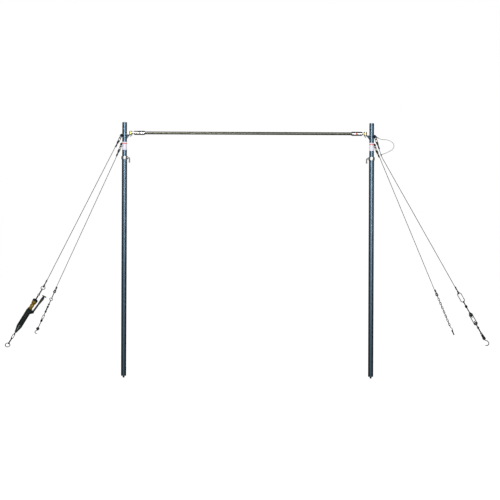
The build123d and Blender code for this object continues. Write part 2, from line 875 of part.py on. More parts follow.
pivot = point(lf_low, *lever_pivot)
tip = point(lf_low, *lever_tip)
lever_line = Plane(origin=pivot, x_dir=(tip - pivot).normalized(), z_dir=side_plane.z_dir)
lever_length = (tip - pivot).length
with BuildPart() as lever:
    with BuildSketch(lever_line.offset(-lever_thickness / 2)):
        SlotCenterToCenter(lever_arm - lever_height, lever_height)
    extrude(amount=lever_thickness)
    lever.part = lever.part.moved(Location(lever_line.x_dir * ((lever_arm - lever_height) / 2)))
    with BuildSketch(lever_line.offset(-cheek_inner - cheek_thickness - 2)):
        Circle(lever_pin)
    extrude(amount=2 * (cheek_inner + cheek_thickness + 2))
    with BuildSketch(Plane(origin=pivot + lever_line.x_dir * (lever_arm - 12), z_dir=lever_line.x_dir)):
        Circle(5)
    extrude(amount=lever_length - lever_arm)
save(lever, "tensioner_lever")
grip_start = lever_arm - 10
grip_stop = lever_length - 4
with BuildPart() as grip:
    with BuildSketch(lever_line):
        with BuildLine():
            Polyline(
                (grip_start + 6, 0),
                (grip_start + 6, grip_radius - 3),
                (grip_start + 14, grip_radius - 2),
                (grip_start + 40, grip_radius - 1),
                (grip_start + 60, grip_radius + 2),
                (grip_stop - 12, grip_radius),
                (grip_stop - 6, grip_radius - 5),
                (grip_stop, grip_radius - 5),
                (grip_stop, 0),
                close=True,
            )
        make_face()
    revolve(axis=Axis(pivot, lever_line.x_dir))
    with BuildSketch(Plane(origin=tip, x_dir=lever_line.x_dir, z_dir=lever_line.y_dir).offset(-20)):
        Circle(6)
    extrude(amount=40)
    add(lever.part, mode=Mode.SUBTRACT)
save(grip, "tensioner_grip")

lower_eye_centre = 553.0
low_link_first = lower_eye_centre + 8 - eye_rod - link_rod - touch_gap
low_link_middle = 608.6
anchor_ring_centre = span(lf_low, left_front_anchor)
low_link_last = anchor_ring_centre - anchor_ring_radius + anchor_ring_rod + link_rod + touch_gap
save(eyed_shank(lf_low, lower_eye_centre, 8, eye_rod, screw_radius, 330, 90), "tensioner_lower_screw")
save_group(
    "left_front_links",
    link(lf_low, low_link_first, low_link_middle, narrow_link, link_rod, 0),
    link(lf_low, low_link_middle - 2 * link_rod - touch_gap, low_link_last, narrow_link, link_rod, 90),
)
save(ring(lf_low, anchor_ring_centre, anchor_ring_radius, anchor_ring_rod), "left_front_anchor_ring")

# ================= left rear stay: slim closed turnbuckle and swivel hook =================
lr_ring_centre = 1991.0
lr_ring_radius = 16.0
lr_eye_top = 2061.6
lr_body = (2086.0, 2167.0)
lr_body_radius = 7.0
lr_screw = 4.0
lr_eye_low = 2203.0
lr_swivel_eye = 2263.6
lr_ball = (2394.0, 17.0)
small_eye = 8.0

lr_link_first = lr_crown - wide_gap
lr_link_last = lr_ring_centre - lr_ring_radius + 2 * link_rod + touch_gap
lr_second_first = lr_ring_centre + lr_ring_radius - 2 * link_rod - touch_gap
lr_second_last = lr_eye_top - small_eye + eye_rod + link_rod + touch_gap
save_group(
    "left_rear_links",
    link(lr_low, lr_link_first, lr_link_last, wide_link, link_rod, 90),
    ring(lr_low, lr_ring_centre, lr_ring_radius, link_rod),
    link(lr_low, lr_second_first, lr_second_last, narrow_link, link_rod, 90),
)
save(eyed_shank(lr_low, lr_eye_top, small_eye, eye_rod, lr_screw, 2112), "left_rear_upper_screw")
with BuildPart() as lr_turnbuckle:
    with BuildSketch(crosswise(lr_low, lr_body[0])):
        Circle(lr_body_radius)
    extrude(amount=lr_body[1] - lr_body[0])
    for start in (lr_body[0], lr_body[1] - 14):
        with BuildSketch(crosswise(lr_low, start)):
            RegularPolygon(lr_body_radius + 3, 6)
        extrude(amount=14)
    with BuildSketch(crosswise(lr_low, lr_body[0])):
        Circle(lr_screw + fit_gap)
    extrude(amount=lr_body[1] - lr_body[0], mode=Mode.SUBTRACT)
save(lr_turnbuckle, "left_rear_turnbuckle")
save(eyed_shank(lr_low, lr_eye_low, small_eye, eye_rod, lr_screw, 2138, 90), "left_rear_lower_screw")
lr_third_first = lr_eye_low + small_eye - eye_rod - link_rod - touch_gap
lr_third_last = lr_swivel_eye - small_eye + eye_rod + link_rod + touch_gap
ball_centre, ball_radius = lr_ball
swivel_shank = eyed_shank(
    lr_low,
    lr_swivel_eye,
    small_eye,
    eye_rod,
    lr_screw,
    ball_centre - ball_radius + 2,
    90,
    [(2272, 2294, 11)],
)
with BuildPart() as lr_swivel:
    add(swivel_shank.part)
    with BuildSketch(lengthwise(lr_low, ball_centre)):
        with BuildLine():
            CenterArc((0, 0), ball_radius, 0, 180)
            Line((-ball_radius, 0), (ball_radius, 0))
        make_face()
    revolve(axis=Axis(lr_low.origin, lr_low.z_dir))
    with BuildSketch(crosswise(lr_low, ball_centre)):
        Circle(lr_screw + fit_gap)
    extrude(amount=ball_radius + 1, mode=Mode.SUBTRACT)
lr_third_link = link(lr_low, lr_third_first, lr_third_last, narrow_link, link_rod, 0)
save_group("left_rear_swivel", lr_third_link, lr_swivel)
lr_hook_bend = [(2396, 0), (2419, 0), (2430, -13), (2449, -13), (2460, 0), (2456, 14)]
save(swept([point(lr_low, s, y) for s, y in lr_hook_bend], [8, 9, 9, 8], lr_screw), "left_rear_hook")

# ================= right front stay: oval snap link, open turnbuckle, swivel hook =================
snap_width = 36.0
snap_last = 1752.0
snap_gate = (1678.0, 1722.0)
gate_hinge = 1719.0
gate_knuckle_radius = 3.6
gate_knuckle_length = 8.0
rf_screw = 5.0
rf_eye_top = 1752.6
rf_body = (1878.0, 2014.0)
rf_bar_offset = 14.0
rf_bar = 4.0
rf_boss_rim = 1.2  # of the bosses, outside the bars
rf_eye_low = 2046.0
rf_swivel_eye = 2113.6

rf_boss = rf_bar_offset + rf_bar + rf_boss_rim
snap_first = rf_crown - 5.5 - shackle_rod - 1.8
gate_box_length = snap_gate[1] - snap_gate[0] + 3
whole_snap = link(rf_end, snap_first, snap_last, snap_width, shackle_rod)
snap_level = lengthwise(rf_end, (snap_gate[0] + snap_gate[1]) / 2)
with BuildPart() as snap_link:
    add(whole_snap.part)
    with BuildSketch(snap_level.offset(-10)):
        with Locations((0, snap_width / 2)):
            Rectangle(gate_box_length, 12)
    extrude(amount=20, mode=Mode.SUBTRACT)
save(snap_link, "right_front_snap_link")
with BuildPart() as gate:
    with BuildSketch(Plane(origin=point(rf_end, snap_gate[0], snap_width / 2), z_dir=rf_end.z_dir)):
        Circle(link_rod)
    extrude(amount=snap_gate[1] - snap_gate[0])
    chamfer(gate.edges(), 0.8)
    with BuildSketch(lengthwise(rf_end, gate_hinge).offset(-gate_knuckle_length / 2)):
        with Locations((0, snap_width / 2)):
            Circle(gate_knuckle_radius)
    extrude(amount=gate_knuckle_length)
save(gate, "right_front_snap_gate")
save(
    eyed_shank(rf_end, rf_eye_top, small_eye, shackle_rod, rf_screw, 1930, 90, [(1796, 1814, 12)]),
    "right_front_upper_screw",
)
with BuildPart() as rf_cone:
    add(
        turned(
            rf_end,
            [
                (rf_body[0], 0),
                (rf_body[0], 9),
                (rf_body[0] + 22, rf_boss),
                (rf_body[0] + 32, rf_boss),
                (rf_body[0] + 32, 0),
            ],
        ).part
    )
    add(
        turned(
            rf_end,
            [
                (rf_body[1] - 20, 0),
                (rf_body[1] - 20, rf_boss),
                (rf_body[1] - 12, rf_boss),
                (rf_body[1], 10),
                (rf_body[1], 0),
            ],
        ).part
    )
    with BuildSketch(crosswise(rf_end, rf_body[0] + 30)):
        with Locations((-rf_bar_offset, 0), (rf_bar_offset, 0)):
            Circle(rf_bar)
    extrude(amount=rf_body[1] - rf_body[0] - 48)
    with BuildSketch(crosswise(rf_end, rf_body[0] - 1)):
        Circle(rf_screw + fit_gap)
    extrude(amount=rf_body[1] - rf_body[0] + 2, mode=Mode.SUBTRACT)
save(rf_cone, "right_front_turnbuckle")
save(eyed_shank(rf_end, rf_eye_low, small_eye, shackle_rod, rf_screw, 1974, 0), "right_front_lower_screw")
rf_link_first = rf_eye_low + small_eye - shackle_rod - link_rod - touch_gap
rf_link_last = rf_swivel_eye - small_eye + eye_rod + link_rod + touch_gap
rf_shank = eyed_shank(rf_end, rf_swivel_eye, small_eye, eye_rod, lr_screw, 2152, 0, [(2128, 2144, 12)])
with BuildPart() as rf_swivel:
    add(rf_shank.part)
    add(turned(rf_end, [(2150, 0), (2150, 10), (2155, 14), (2174, 14), (2180, 9), (2180, 0)]).part)
    with BuildSketch(crosswise(rf_end, 2160)):
        Circle(lr_screw + fit_gap)
    extrude(amount=21, mode=Mode.SUBTRACT)
rf_link = link(rf_end, rf_link_first, rf_link_last, narrow_link, link_rod, 90)
save_group("right_front_swivel", rf_link, rf_swivel)
rf_hook_bend = [(2161, 0), (2189, 0), (2200, 15), (2222, 20), (2240, 10), (2244, -10), (2236, -22)]
rf_hook_route = [point(rf_end, s, y) for s, y in rf_hook_bend]
save(swept(rf_hook_route, [9, 10, 12, 12, 9], lr_screw), "right_front_hook")

# ================= right rear stay: short-link chain and hook bolt =================
chain_rod = 2.8
chain_width = 15.0
chain_pitch = 28.0
chain_links = 14
first_link_length = 46.0
bolt = (2372.0, 2431.0)

chain = []
top = rr_crown - 5.5 - chain_rod - 1.8
for i in range(chain_links):
    length = first_link_length if i == 0 else chain_pitch + 2 * chain_rod + touch_gap
    width = wide_link if i == 0 else chain_width
    chain.append(link(rr_low, top, top + length, width, chain_rod, 0 if i % 2 else 90))
    top += length - 2 * chain_rod - touch_gap
save_group("right_rear_chain", *chain)
rr_eye = top + chain_rod - eye_rod + 9
hook_eye = ring(rr_low, rr_eye, 9, eye_rod, 90)
hook_start = rr_eye + 8.5
hook_bend = [
    (hook_start, 0),
    (hook_start + 14, 0),
    (hook_start + 30, 10),
    (hook_start + 48, 9),
    (bolt[0] + 4, 3),
]
hook_shank = swept([point(rr_low, s, y) for s, y in hook_bend], [10, 14, 14], shackle_rod)
with BuildPart() as rear_hook:
    add(hook_eye.part)
    add(hook_shank.part)
    with BuildSketch(Plane(origin=point(rr_low, bolt[0], 3), z_dir=rr_low.z_dir)):
        RegularPolygon(9, 6)
    extrude(amount=14)
    with BuildSketch(Plane(origin=point(rr_low, bolt[0] + 14, 3), z_dir=rr_low.z_dir)):
        Circle(6)
    extrude(amount=bolt[1] - bolt[0] - 14)
save(rear_hook, "right_rear_hook")

# ================= slack safety tail at the right post =================
safety_radius = 2.5
safety_gap = 0.6  # at each end of the tail
stud_radius = 4.5
stud_start = 13.7  # past the ear's hole
clip_above_clamp = 30.0
clip_length = 12.0
clip_bore = rope_radius + 0.3
clip_radius = clip_bore + 3
safety_places = [  # distance out from the post, distance to the back, height above the front ear
    (62.0, -62.0, -19.0),
    (79.0, -70.0, -29.0),
    (108.0, -74.0, -33.0),
    (145.0, -78.0, -34.0),
    (182.0, -84.0, -49.0),
    (207.0, -92.0, -74.0),
    (211.0, -101.0, -106.0),
    (191.0, -111.0, -133.0),
    (160.0, -121.0, -150.0),
    (131.0, -130.0, -166.0),
]


def route_radii(points):
    """Radius at each inner point: 0.45 of the shorter run over the tangent of half the turn."""
    steps = [b - a for a, b in zip(points, points[1:])]
    return [
        0.45 * min(a.length, b.length) / tan(radians(a.get_angle(b)) / 2)
        for a, b in zip(steps, steps[1:])
    ]


safety_route = [
    Vector(*beside_post(1, (out, back, front_ear_height + rise))) for out, back, rise in safety_places
]
stud_way = (safety_route[0] - rf.origin).normalized()
with BuildPart() as stud:
    with BuildSketch(Plane(origin=rf.origin + stud_way * stud_start, z_dir=stud_way)):
        Circle(stud_radius)
    extrude(amount=(safety_route[0] - rf.origin).length - stud_start - safety_gap)
    chamfer(stud.edges(), 0.8)
clip_place = span(rf, right_front_clamp) - clip_above_clamp
clip_centre = point(rf, clip_place, -rope_half_gap, top_turns["rf"])
with BuildPart() as clip:
    with BuildSketch(Plane(origin=clip_centre - rf.z_dir * clip_length / 2, z_dir=rf.z_dir)):
        Circle(clip_radius)
        Circle(clip_bore, mode=Mode.SUBTRACT)
    extrude(amount=clip_length)
save_group("right_tail_fittings", stud, clip)
clip_way = (safety_route[-1] - clip_centre).normalized()
safety_route.append(clip_centre + clip_way * (clip_radius + safety_gap))
safety_bends = route_radii(safety_route)
print("safety tail bends", [round(r, 1) for r in safety_bends])
save(swept(safety_route, safety_bends, safety_radius), "right_safety_tail")
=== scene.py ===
"""A horizontal bar for gymnastics on two posts, with its four wire-rope stays."""

from math import atan2, cos, degrees, pi, radians, sin

import bpy
from mathutils import Matrix, Quaternion, Vector


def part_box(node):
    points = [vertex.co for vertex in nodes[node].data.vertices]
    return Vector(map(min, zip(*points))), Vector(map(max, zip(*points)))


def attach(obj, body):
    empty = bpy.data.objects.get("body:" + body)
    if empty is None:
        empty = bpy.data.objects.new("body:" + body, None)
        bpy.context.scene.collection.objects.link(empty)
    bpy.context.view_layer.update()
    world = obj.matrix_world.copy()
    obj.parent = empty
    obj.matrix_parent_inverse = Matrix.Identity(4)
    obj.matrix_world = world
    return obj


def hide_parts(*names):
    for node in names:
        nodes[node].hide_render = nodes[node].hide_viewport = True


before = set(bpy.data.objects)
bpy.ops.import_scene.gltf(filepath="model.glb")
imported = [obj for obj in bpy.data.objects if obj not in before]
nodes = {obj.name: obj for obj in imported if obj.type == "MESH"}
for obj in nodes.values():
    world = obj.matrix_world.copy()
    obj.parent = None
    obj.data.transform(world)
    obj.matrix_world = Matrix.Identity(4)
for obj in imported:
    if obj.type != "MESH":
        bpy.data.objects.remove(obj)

scene = bpy.context.scene


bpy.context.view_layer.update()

# ---- camera ----
CAMERA_PLACE = (0.023, -17.5, 1.244)
CAMERA_LENS = 129.7
CAMERA_ROLL = 0.25
camera_data = bpy.data.cameras.new("camera")
camera_data.lens = CAMERA_LENS
camera_data.sensor_width = 36.0
camera_data.clip_end = 200.0
camera = bpy.data.objects.new("camera", camera_data)
gaze = Matrix.Rotation(pi / 2, 4, "X") @ Matrix.Rotation(radians(CAMERA_ROLL), 4, "Z")
camera.matrix_world = Matrix.Translation(CAMERA_PLACE) @ gaze
scene.collection.objects.link(camera)
scene.camera = camera

# ---- the stays' routes, as in the part's source, in metres ----
# lf, lr, rf and rr are the left front, left rear, right front and right rear stays.
HALF_SPACING = 1.2
EAR_REACH = 0.045
FRONT_EAR, REAR_EAR = 2.350, 2.270
LF_JOINT = Vector((-1.885, -0.883, 0.886))
LF_ANCHOR = Vector((-2.160, -1.250, 0.378))
LR_ANCHOR = Vector((-2.205, 1.250, 0.365))
RF_CLAMP = Vector((1.294, -0.140, 2.141))
RF_ANCHOR = Vector((2.184, -1.250, 0.375))
RR_ANCHOR = Vector((2.151, 1.250, 0.360))
ROPE_D = 0.006
HALF_GAP = 0.0034  # from a stay's line to each of the two ropes in a ferrule
EYE = 0.048
EYE_HALF_WIDTH = 0.0135
EYE_SHOULDER = 0.011
CROWN_HALF_WIDTH = 0.007
FERRULE = 0.026
DEAD_END = 0.005  # past the ferrule
RUN_POINT = 0.036  # past the eye's foot
BEND_STEP = 0.018
TOP_CROWN = 0.0650


class Stay:
    """Line of a stay: a start, the way down it and the way aside."""

    def __init__(self, start, end):
        self.start = start
        self.length = (end - start).length
        self.down = (end - start).normalized()
        self.aside = (Vector((1, 0, 0)) - self.down * self.down.x).normalized()

    def at(self, s, y=0.0, turn=0.0):
        side = self.aside.copy()
        side.rotate(Quaternion(self.down, radians(turn)))
        return self.start + self.down * s + side * y

    def turn_of(self, direction):
        other = self.down.cross(self.aside)
        return degrees(atan2(direction.dot(other), direction.dot(self.aside)))


def ear_point(side, anchor, height):
    away = Vector((anchor.x - side * HALF_SPACING, anchor.y, 0)).normalized()
    return Vector((side * HALF_SPACING, 0, height)) + away * EAR_REACH, away


def eye_points(stay, crown, way, turn):
    """Control points of a rope's eye, dead end first, with one more on the run past the ferrule."""
    foot = crown + way * EYE
    shoulder = crown + way * EYE_SHOULDER
    corners = [
        (foot + way * (FERRULE + DEAD_END), HALF_GAP),
        (foot, HALF_GAP),
        (shoulder, EYE_HALF_WIDTH),
        (crown, CROWN_HALF_WIDTH),
        (crown, -CROWN_HALF_WIDTH),
        (shoulder, -EYE_HALF_WIDTH),
        (foot, -HALF_GAP),
        (foot + way * RUN_POINT, -HALF_GAP),
    ]
    return [stay.at(s, y, turn) for s, y in corners]


def route_curve(name, points):
    """Smooth spline with the route's points as control points."""
    data = bpy.data.curves.new(name, "CURVE")
    data.dimensions = "3D"
    data.resolution_u = 12
    spline = data.splines.new("NURBS")
    spline.points.add(len(points) - 1)
    for p, co in zip(spline.points, points):
        p.co = (*co, 1.0)
    spline.order_u = 3
    spline.use_endpoint_u = True
    curve = bpy.data.objects.new(name, data)
    scene.collection.objects.link(curve)
    return curve


def centreline(points, step):
    """Points of the route's smooth spline, close together."""
    curve = route_curve("route", points)
    bpy.context.view_layer.update()
    mesh = bpy.data.meshes.new_from_object(curve.evaluated_get(bpy.context.evaluated_depsgraph_get()))
    line = [v.co.copy() for v in mesh.vertices]
    bpy.data.objects.remove(curve)
    bpy.data.meshes.remove(mesh)
    dense = [line[0]]
    for a, b in zip(line, line[1:]):
        pieces = max(1, round((b - a).length / step))
        dense += [a.lerp(b, i / pieces) for i in range(1, pieces + 1)]
    return dense


def carried_frames(line):
    """A side vector at each point of a line, carried along it without twist."""
    last = len(line) - 1
    tangents = [(line[min(i + 1, last)] - line[max(i - 1, 0)]).normalized() for i in range(last + 1)]
    side = tangents[0].orthogonal().normalized()
    sides = [side]
    for a, b in zip(tangents, tangents[1:]):
        side = side.copy()
        side.rotate(a.rotation_difference(b))
        side = (side - b * side.dot(b)).normalized()
        sides.append(side)
    return tangents, sides


STRANDS = 6
STRAND_SIDES = 6


def wire_rope(name, line, diameter, strand_radius, core_radius, lay):
    """Wire rope: closed tubes laid in a helix round a line, half of them in each of two materials."""
    tangents, across = carried_frames(line)
    run = [0.0]
    for a, b in zip(line, line[1:]):
        run.append(run[-1] + (b - a).length)
    vertices, faces, materials = [], [], []
    sides = STRAND_SIDES

    def tube(centres, radius, slot):
        _, outward = carried_frames(centres)
        base = len(vertices)
        for c, t, u in zip(centres, tangents, outward):
            w = t.cross(u)
            for k in range(sides):
                a = 2 * pi * k / sides
                vertices.append(c + (u * cos(a) + w * sin(a)) * radius)
        for i in range(len(centres) - 1):
            for k in range(sides):
                a, b = base + i * sides + k, base + i * sides + (k + 1) % sides
                faces.append((a, b, b + sides, a + sides))
                materials.append(slot)
        faces.append(tuple(base + k for k in reversed(range(sides))))
        last = base + (len(centres) - 1) * sides
        faces.append(tuple(last + k for k in range(sides)))
        materials.extend([slot, slot])

    for n in range(STRANDS):
        centres = []
        for c, t, u, s in zip(line, tangents, across, run):
            a = 2 * pi * (n / STRANDS + s / lay)
            centres.append(c + (u * cos(a) + t.cross(u) * sin(a)) * (diameter / 2 - strand_radius))
        tube(centres, strand_radius, 0 if n < STRANDS / 2 else 1)
    tube(line, core_radius, 0)
    mesh = bpy.data.meshes.new(name)
    mesh.from_pydata(vertices, [], faces)
    mesh.polygons.foreach_set("material_index", materials)
    mesh.polygons.foreach_set("use_smooth", [True] * len(faces))
    mesh.update()
    piece = bpy.data.objects.new(name, mesh)
    scene.collection.objects.link(piece)
    return piece


lf_ear, lf_away = ear_point(-1, LF_JOINT, FRONT_EAR)
lr_ear, lr_away = ear_point(-1, LR_ANCHOR, REAR_EAR)
rf_ear, rf_away = ear_point(1, RF_ANCHOR, FRONT_EAR)
rr_ear, rr_away = ear_point(1, RR_ANCHOR, REAR_EAR)
lf, lf_low = Stay(lf_ear, LF_JOINT), Stay(LF_JOINT, LF_ANCHOR)
lr = Stay(lr_ear, LR_ANCHOR)
rf, rf_low = Stay(rf_ear, RF_CLAMP), Stay(RF_CLAMP, RF_ANCHOR)
rr = Stay(rr_ear, RR_ANCHOR)
LF_CROWN = lf.length - 0.008
LR_CROWN = RR_CROWN = 1.905
RF_CROWN = 1.659


def top_turn(stay, away):
    return stay.turn_of(Vector((0, 0, 1)).cross(away))


def stay_points(top, away, low, crown, turn, bend=None):
    """Control points of a stay's rope; a bend is kept short by points close to its corner."""
    upper = eye_points(top, TOP_CROWN, 1, top_turn(top, away))
    lower = eye_points(low, crown, -1, turn)
    middle = []
    if bend:
        back, on = (upper[-1] - bend).normalized(), (lower[-1] - bend).normalized()
        middle = [bend + back * 2 * BEND_STEP, bend + back * BEND_STEP, bend, bend + on * BEND_STEP]
    return [*upper, *middle, *reversed(lower)]


clamp_point = rf.at(rf.length, -HALF_GAP, top_turn(rf, rf_away))
# Of each stay: its control points, its rope's real length and the pieces on it.
stays = {
    "left_front": (
        stay_points(lf, lf_away, lf, LF_CROWN, 90),
        1.93,
        [
            "left_front_joint", "tensioner_upper_screw", "tensioner_barrel", "tensioner_housing",
            "tensioner_lever", "tensioner_grip", "tensioner_lower_screw", "left_front_links",
            "left_front_anchor_ring",
        ],
    ),
    "left_rear": (
        stay_points(lr, lr_away, lr, LR_CROWN, 0),
        2.03,
        [
            "left_rear_links", "left_rear_upper_screw", "left_rear_turnbuckle", "left_rear_lower_screw",
            "left_rear_swivel", "left_rear_hook",
        ],
    ),
    "right_front": (
        stay_points(rf, rf_away, rf_low, RF_CROWN, 90, clamp_point),
        2.03,
        [
            "right_front_snap_link", "right_front_snap_gate", "right_front_upper_screw",
            "right_front_turnbuckle", "right_front_lower_screw", "right_front_swivel", "right_front_hook",
        ],
    ),
    "right_rear": (
        stay_points(rr, rr_away, rr, RR_CROWN, 0),
        2.03,
        ["right_rear_chain", "right_rear_hook"],
    ),
}
ROPE_STEP = 0.005
ropes = {}
for name, (points, length, on_it) in stays.items():
    line = centreline(points, ROPE_STEP)
    rope = wire_rope(
        f"{name}_wire_rope", line, ROPE_D, strand_radius=0.00105, core_radius=0.00115, lay=0.088
    )
    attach(rope, "head")
    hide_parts(f"{name}_rope")
    ropes[name] = rope

SAFETY_ROUTE = [
    (1.262, -0.062, 2.331), (1.279, -0.070, 2.321), (1.308, -0.074, 2.317), (1.345, -0.078, 2.316),
    (1.382, -0.084, 2.301), (1.407, -0.092, 2.276), (1.411, -0.101, 2.244), (1.391, -0.111, 2.217),
    (1.360, -0.121, 2.200), (1.331, -0.130, 2.184),
]
CLIP_ABOVE_CLAMP = 0.030
CLIP_RADIUS = 0.0063
CLIP_GAP = 0.0006
TAIL_STEP = 0.003
TAIL_D = 0.005
clip_centre = rf.at(rf.length - CLIP_ABOVE_CLAMP, -HALF_GAP, top_turn(rf, rf_away))
tail_points = [Vector(p) for p in SAFETY_ROUTE]
clip_way = (tail_points[-1] - clip_centre).normalized()
tail_points.append(clip_centre + clip_way * (CLIP_RADIUS + CLIP_GAP))
tail_line = centreline(tail_points, TAIL_STEP)
tail = wire_rope("right_safety_rope", tail_line, TAIL_D, strand_radius=0.00085, core_radius=0.001, lay=0.050)
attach(tail, "head")
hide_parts("right_safety_tail")

# ---- materials ----
PLAIN = (1, 1, 1)
MIX_A, MIX_B, MIX_RESULT = 6, 7, 2  # the colour sockets of a mix node


def grey(x):
    return (x, x, x)


def shader(name, color, metallic=0.0, roughness=0.4, **sockets):
    """Principled material; returns it with its node tree's tools."""
    material = bpy.data.materials.new(name)
    material.use_nodes = True
    tree = material.node_tree
    body = tree.nodes["Principled BSDF"]
    body.inputs["Base Color"].default_value = (*color, 1)
    body.inputs["Metallic"].default_value = metallic
    body.inputs["Roughness"].default_value = roughness
    for key, value in sockets.items():
        body.inputs[key.replace("_", " ")].default_value = value
    return material, tree, body


def new(tree, kind, **values):
    node = tree.nodes.new(kind)
    for key, value in values.items():
        if key in node.inputs:
            node.inputs[key].default_value = value
        else:
            setattr(node, key, value)
    return node


def place_of(tree, scale):
    """Object coordinates, stretched."""
    where = new(tree, "ShaderNodeTexCoord")
    mapping = new(tree, "ShaderNodeMapping")
    mapping.inputs["Scale"].default_value = scale
    tree.links.new(where.outputs["Object"], mapping.inputs["Vector"])
    return mapping.outputs["Vector"]


def noise(tree, vector, scale, detail=4.0, rough=0.55):
    node = new(tree, "ShaderNodeTexNoise", Scale=scale, Detail=detail, Roughness=rough)
    tree.links.new(vector, node.inputs["Vector"])
    return node.outputs["Fac"]


def ramp(tree, value, stops):
    node = new(tree, "ShaderNodeValToRGB")
    elements = node.color_ramp.elements
    while len(elements) < len(stops):
        elements.new(0.5)
    for element, (at, color) in zip(elements, stops):
        element.position = at
        element.color = (*color, 1) if len(color) == 3 else color
    tree.links.new(value, node.inputs["Fac"])
    return node.outputs["Color"]


def axis_of(tree, coordinates, axis):
    where = new(tree, "ShaderNodeTexCoord")
    split = new(tree, "ShaderNodeSeparateXYZ")
    tree.links.new(where.outputs[coordinates], split.inputs["Vector"])
    return split.outputs[axis]


def share_of(tree, value, low, high):
    """0 where the value is low, 1 where it is high."""
    node = new(tree, "ShaderNodeMapRange", **{"From Min": low, "From Max": high})
    tree.links.new(value, node.inputs["Value"])
    return node.outputs["Result"]


def bump(tree, body, height, strength, distance=0.001):
    node = new(tree, "ShaderNodeBump", Strength=strength, Distance=distance)
    tree.links.new(height, node.inputs["Height"])
    tree.links.new(node.outputs["Normal"], body.inputs["Normal"])


def patchy(tree, body, value, colours, roughness):
    """Colour and roughness that go together with a noise value."""
    dark, light = colours
    tree.links.new(ramp(tree, value, [(0.3, dark), (0.7, light)]), body.inputs["Base Color"])
    smooth, rough = map(grey, roughness)
    tree.links.new(ramp(tree, value, [(0.3, smooth), (0.7, rough)]), body.inputs["Roughness"])


def worn(name, dark, light, roughness, metallic, scale, stretch=PLAIN, bumps=0.1):
    """Metal, paint, film or fibre whose colour and roughness vary in patches or streaks."""
    material, tree, body = shader(name, light, metallic, sum(roughness) / 2)
    patchy(tree, body, noise(tree, place_of(tree, stretch), scale), (dark, light), roughness)
    bump(tree, body, noise(tree, place_of(tree, stretch), scale * 6), bumps, 0.0003)
    return material


def threaded(name, stay, pitch, first, last):
    """Black steel with a fine thread between two distances down a stay."""
    material, tree, body = shader(name, (0.02, 0.026, 0.025), 0.5, 0.32)
    value = noise(tree, place_of(tree, PLAIN), 55.0)
    patchy(tree, body, value, ((0.008, 0.010, 0.010), (0.03, 0.04, 0.038)), (0.24, 0.45))
    where = new(tree, "ShaderNodeTexCoord")
    along = new(tree, "ShaderNodeVectorMath", operation="DOT_PRODUCT")
    along.inputs[1].default_value = stay.down
    tree.links.new(where.outputs["Object"], along.inputs[0])

    def maths(operation, a, b):
        node = new(tree, "ShaderNodeMath", operation=operation)
        tree.links.new(a, node.inputs[0])
        if isinstance(b, float):
            node.inputs[1].default_value = b
        else:
            tree.links.new(b, node.inputs[1])
        return node.outputs[0]

    start = stay.start.dot(stay.down)
    place = along.outputs["Value"]
    wave = maths("PINGPONG", place, pitch / 2)
    past_first = maths("GREATER_THAN", place, start + first)
    before_last = maths("LESS_THAN", place, start + last)
    inside = maths("MULTIPLY", past_first, before_last)
    bump(tree, body, maths("MULTIPLY", wave, inside), 1.0, 1.0)
    return material


def post_paint():
    """Blue-grey gloss on steel tube, with painted shade darkening it near the floor, and long faint streaks.
    """
    material, tree, body = shader("post_paint", (0.10, 0.16, 0.22), 0.85, 0.28)
    streaks = noise(tree, place_of(tree, (30, 30, 0.6)), 1.0)
    tone = ramp(tree, streaks, [(0.3, (0.075, 0.125, 0.175)), (0.7, (0.105, 0.165, 0.220))])
    # Painted shade: the paint's colour is multiplied darker towards the floor.
    height = share_of(tree, axis_of(tree, "Object", "Z"), 0.0, 1.6)
    shade = ramp(tree, height, [(0.0, (0.42, 0.42, 0.40)), (1.0, PLAIN)])
    darker = new(tree, "ShaderNodeMix", data_type="RGBA", blend_type="MULTIPLY")
    darker.inputs[0].default_value = 1.0
    tree.links.new(tone, darker.inputs[MIX_A])
    tree.links.new(shade, darker.inputs[MIX_B])
    tree.links.new(darker.outputs[MIX_RESULT], body.inputs["Base Color"])
    scuffs = noise(tree, place_of(tree, (9, 9, 0.3)), 14.0, 3.0)
    gloss = ramp(tree, scuffs, [(0.35, grey(0.27)), (0.75, grey(0.31))])
    tree.links.new(gloss, body.inputs["Roughness"])
    bump(tree, body, noise(tree, place_of(tree, (1, 1, 0.1)), 60.0), 0.002, 0.0002)
    return material


def label_film():
    """Pale film with a red band near its top edge."""
    material, tree, body = shader("label_film", (0.86, 0.85, 0.90), 0.0, 0.35)
    low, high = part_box("label_wraps")
    height = share_of(tree, axis_of(tree, "Object", "Z"), low.z, high.z)
    pale, red = (0.66, 0.65, 0.73), (0.62, 0.10, 0.07)
    band = [(0.0, pale), (0.74, pale), (0.745, red), (0.86, red), (0.865, pale)]
    tree.links.new(ramp(tree, height, band), body.inputs["Base Color"])
    fibres = noise(tree, place_of(tree, PLAIN), 90.0)
    gloss = ramp(tree, fibres, [(0.3, grey(0.28)), (0.7, grey(0.45))])
    tree.links.new(gloss, body.inputs["Roughness"])
    bump(tree, body, fibres, 0.08, 0.0004)
    return material


